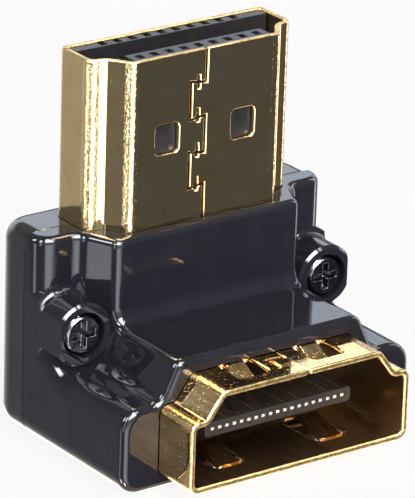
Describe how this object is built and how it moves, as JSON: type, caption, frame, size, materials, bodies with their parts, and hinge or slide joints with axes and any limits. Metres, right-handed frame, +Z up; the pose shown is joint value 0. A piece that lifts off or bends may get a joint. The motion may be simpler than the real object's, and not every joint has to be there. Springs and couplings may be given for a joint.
{
  "type": "right angle display adapter",
  "caption": "Right angle adapter with a gold plated plug standing up and a gold plated socket facing forward, in a two part black housing closed by two screws.",
  "frame": {"origin": "middle of the underside of the box round the whole adapter", "axes": "+X to the right, +Y to the back, +Z up along the plug; the socket faces -Y"},
  "size_m": [0.02, 0.0162, 0.0225],
  "materials": {
    "housing_front": "polished black moulding",
    "housing_back": "polished black moulding",
    "screw_black": "black plated steel, glossy",
    "plug_gold": "gold plated sheet, bright",
    "socket_gold": "gold plated sheet, bright",
    "plug_plastic": "black moulding",
    "socket_plastic": "dark moulding",
    "plug_contact_gold": "plated spring strip",
    "socket_contact_tin": "plated strip, pale",
    "board_laminate": "green laminate"
  },
  "bodies": {
    "root": {"back_cover": "housing_back", "circuit_board": "board_laminate", "front_shell": "housing_front", "plug_contact_01": "plug_contact_gold", "plug_contact_02": "plug_contact_gold", "plug_contact_03": "plug_contact_gold", "plug_contact_04": "plug_contact_gold", "plug_contact_05": "plug_contact_gold", "plug_contact_06": "plug_contact_gold", "plug_contact_07": "plug_contact_gold", "plug_contact_08": "plug_contact_gold", "plug_contact_09": "plug_contact_gold", "plug_contact_10": "plug_contact_gold", "plug_contact_11": "plug_contact_gold", "plug_contact_12": "plug_contact_gold", "plug_contact_13": "plug_contact_gold", "plug_contact_14": "plug_contact_gold", "plug_contact_15": "plug_contact_gold", "plug_contact_16": "plug_contact_gold", "plug_contact_17": "plug_contact_gold", "plug_contact_18": "plug_contact_gold", "plug_contact_19": "plug_contact_gold", "plug_insulator": "plug_plastic", "plug_shell": "plug_gold", "screw_left": "screw_black", "screw_right": "screw_black", "socket_contact_01": "socket_contact_tin", "socket_contact_02": "socket_contact_tin", "socket_contact_03": "socket_contact_tin", "socket_contact_04": "socket_contact_tin", "socket_contact_05": "socket_contact_tin", "socket_contact_06": "socket_contact_tin", "socket_contact_07": "socket_contact_tin", "socket_contact_08": "socket_contact_tin", "socket_contact_09": "socket_contact_tin", "socket_contact_10": "socket_contact_tin", "socket_contact_11": "socket_contact_tin", "socket_contact_12": "socket_contact_tin", "socket_contact_13": "socket_contact_tin", "socket_contact_14": "socket_contact_tin", "socket_contact_15": "socket_contact_tin", "socket_contact_16": "socket_contact_tin", "socket_contact_17": "socket_contact_tin", "socket_contact_18": "socket_contact_tin", "socket_contact_19": "socket_contact_tin", "socket_insulator": "socket_plastic", "socket_shell": "socket_gold"}
  },
  "joints": []
}
